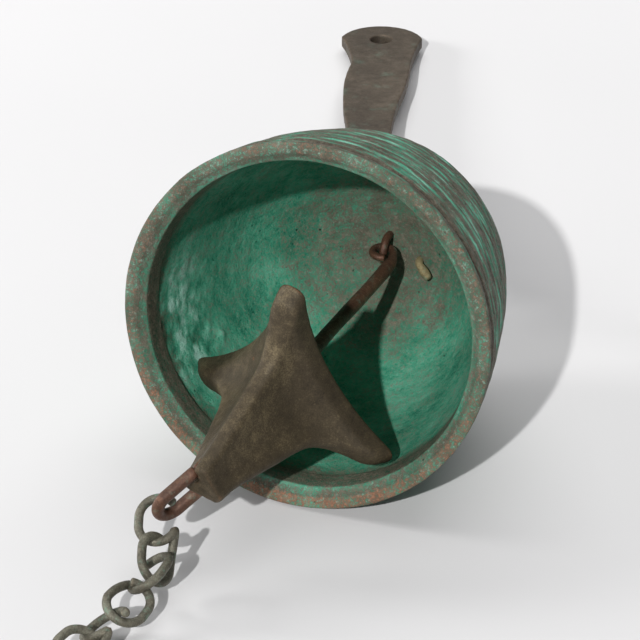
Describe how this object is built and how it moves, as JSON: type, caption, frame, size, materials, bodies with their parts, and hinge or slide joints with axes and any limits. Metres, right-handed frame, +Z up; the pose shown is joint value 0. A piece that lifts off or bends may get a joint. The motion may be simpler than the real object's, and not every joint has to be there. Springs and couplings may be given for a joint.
{
  "type": "wind bell",
  "caption": "Cast bronze wind bell with a three-finned clapper, jack chain, flat wind sail and a long flat hanging plate, laid on its side.",
  "frame": {"origin": "middle of the footprint of the whole laid-out piece, on the table", "axes": "+Z up from the table, -Y the way the mouth of the bell opens, +X to the right when looking into the mouth"},
  "size_m": [0.1459, 0.6577, 0.1138],
  "materials": {
    "shell_bronze": "cast bronze with heavy green patina, brown on the high ridges",
    "clapper_bronze": "cast bronze with a dull olive brown patina and fine sandy speckle",
    "wire_bronze": "bronze wire with a brown patina",
    "chain_brass": "weathered brass wire, grey green",
    "plate_bronze": "cast bronze plate, grey brown"
  },
  "bodies": {
    "shell": {"bell_shell": "shell_bronze", "crown_staple": "wire_bronze", "crown_stub": "wire_bronze"},
    "clapper": {"clapper_rod": "wire_bronze", "clapper": "clapper_bronze"},
    "clapper_ring_body": {"clapper_ring": "wire_bronze"},
    "chain_link_1_body": {"chain_link_1": "chain_brass"},
    "chain_link_2_body": {"chain_link_2": "chain_brass"},
    "chain_link_3_body": {"chain_link_3": "chain_brass"},
    "chain_link_4_body": {"chain_link_4": "chain_brass"},
    "chain_link_5_body": {"chain_link_5": "chain_brass"},
    "chain_link_6_body": {"chain_link_6": "chain_brass"},
    "chain_link_7_body": {"chain_link_7": "chain_brass"},
    "chain_link_8_body": {"chain_link_8": "chain_brass"},
    "sail_ring_body": {"sail_ring": "wire_bronze"},
    "wind_sail_body": {"wind_sail": "plate_bronze"},
    "hanger_link_1_body": {"hanger_link_1": "chain_brass"},
    "hanger_link_2_body": {"hanger_link_2": "chain_brass"},
    "hanger_ring_body": {"hanger_ring": "wire_bronze"},
    "hanger_plate_body": {"hanger_plate": "plate_bronze"}
  },
  "joints": [
    {"name": "clapper_swing", "type": "hinge", "parent": "shell", "child": "clapper", "pos_m": [0.0154, 0.10126, 0.04381], "axis": [-1, 0, 0], "range_deg": [0, 22]},
    {"name": "clapper_ring_swing", "type": "hinge", "parent": "clapper", "child": "clapper_ring_body", "pos_m": [0.0008, -0.0111, 0.0292], "axis": [0.1271, 0.6238, -0.7712], "range_deg": [-6, 6]},
    {"name": "chain_link_1_swing", "type": "hinge", "parent": "clapper_ring_body", "child": "chain_link_1_body", "pos_m": [-0.01103, -0.02274, 0.01886], "axis": [0.031, 0.526, -0.8499], "range_deg": [-15, 15]},
    {"name": "chain_link_2_swing", "type": "hinge", "parent": "chain_link_1_body", "child": "chain_link_2_body", "pos_m": [-0.00677, -0.04197, 0.01004], "axis": [-0.574, -0.079, 0.815], "range_deg": [-15, 15]},
    {"name": "chain_link_3_swing", "type": "hinge", "parent": "chain_link_2_body", "child": "chain_link_3_body", "pos_m": [-0.01008, -0.05975, 0.00693], "axis": [0.8686, -0.1919, -0.4568], "range_deg": [-15, 15]},
    {"name": "chain_link_4_swing", "type": "hinge", "parent": "chain_link_3_body", "child": "chain_link_4_body", "pos_m": [-0.0155, -0.08297, 0.0055], "axis": [-0.8833, 0.124, 0.4521], "range_deg": [-15, 15]},
    {"name": "chain_link_5_swing", "type": "hinge", "parent": "chain_link_4_body", "child": "chain_link_5_body", "pos_m": [-0.01843, -0.10668, 0.0053], "axis": [0.8918, -0.047, -0.4499], "range_deg": [-15, 15]},
    {"name": "chain_link_6_swing", "type": "hinge", "parent": "chain_link_5_body", "child": "chain_link_6_body", "pos_m": [-0.01932, -0.13055, 0.00511], "axis": [-0.8932, -0.023, 0.4491], "range_deg": [-15, 15]},
    {"name": "chain_link_7_swing", "type": "hinge", "parent": "chain_link_6_body", "child": "chain_link_7_body", "pos_m": [-0.0182, -0.15441, 0.00539], "axis": [0.8897, 0.078, -0.4498], "range_deg": [-15, 15]},
    {"name": "chain_link_8_swing", "type": "hinge", "parent": "chain_link_7_body", "child": "chain_link_8_body", "pos_m": [-0.01538, -0.17813, 0.00606], "axis": [-0.8817, -0.139, 0.4509], "range_deg": [-15, 15]},
    {"name": "sail_ring_swing", "type": "hinge", "parent": "chain_link_8_body", "child": "sail_ring_body", "pos_m": [-0.01136, -0.20167, 0.00696], "axis": [0.8854, 0.116, -0.4502], "range_deg": [-15, 15]},
    {"name": "wind_sail_swing", "type": "hinge", "parent": "sail_ring_body", "child": "wind_sail_body", "pos_m": [-0.00976, -0.21451, 0.00677], "axis": [-0.454, 0.004, -0.891], "range_deg": [-15, 15]},
    {"name": "hanger_link_1_swing", "type": "hinge", "parent": "shell", "child": "hanger_link_1_body", "pos_m": [0.0154, 0.12581, 0.03701], "axis": [0, -0.6639, -0.7479], "range_deg": [-15, 15]},
    {"name": "hanger_link_2_swing", "type": "hinge", "parent": "hanger_link_1_body", "child": "hanger_link_2_body", "pos_m": [0.00481, 0.14242, 0.02352], "axis": [0.5213, 0.6124, 0.5944], "range_deg": [-15, 15]},
    {"name": "hanger_ring_swing", "type": "hinge", "parent": "hanger_link_2_body", "child": "hanger_ring_body", "pos_m": [-0.00743, 0.16127, 0.01541], "axis": [-0.8221, -0.5421, -0.174], "range_deg": [-15, 15]},
    {"name": "hanger_plate_swing", "type": "hinge", "parent": "hanger_ring_body", "child": "hanger_plate_body", "pos_m": [-0.01426, 0.17215, 0.01376], "axis": [0.2071, 0.001, -0.9783], "range_deg": [-15, 15]}
  ]
}
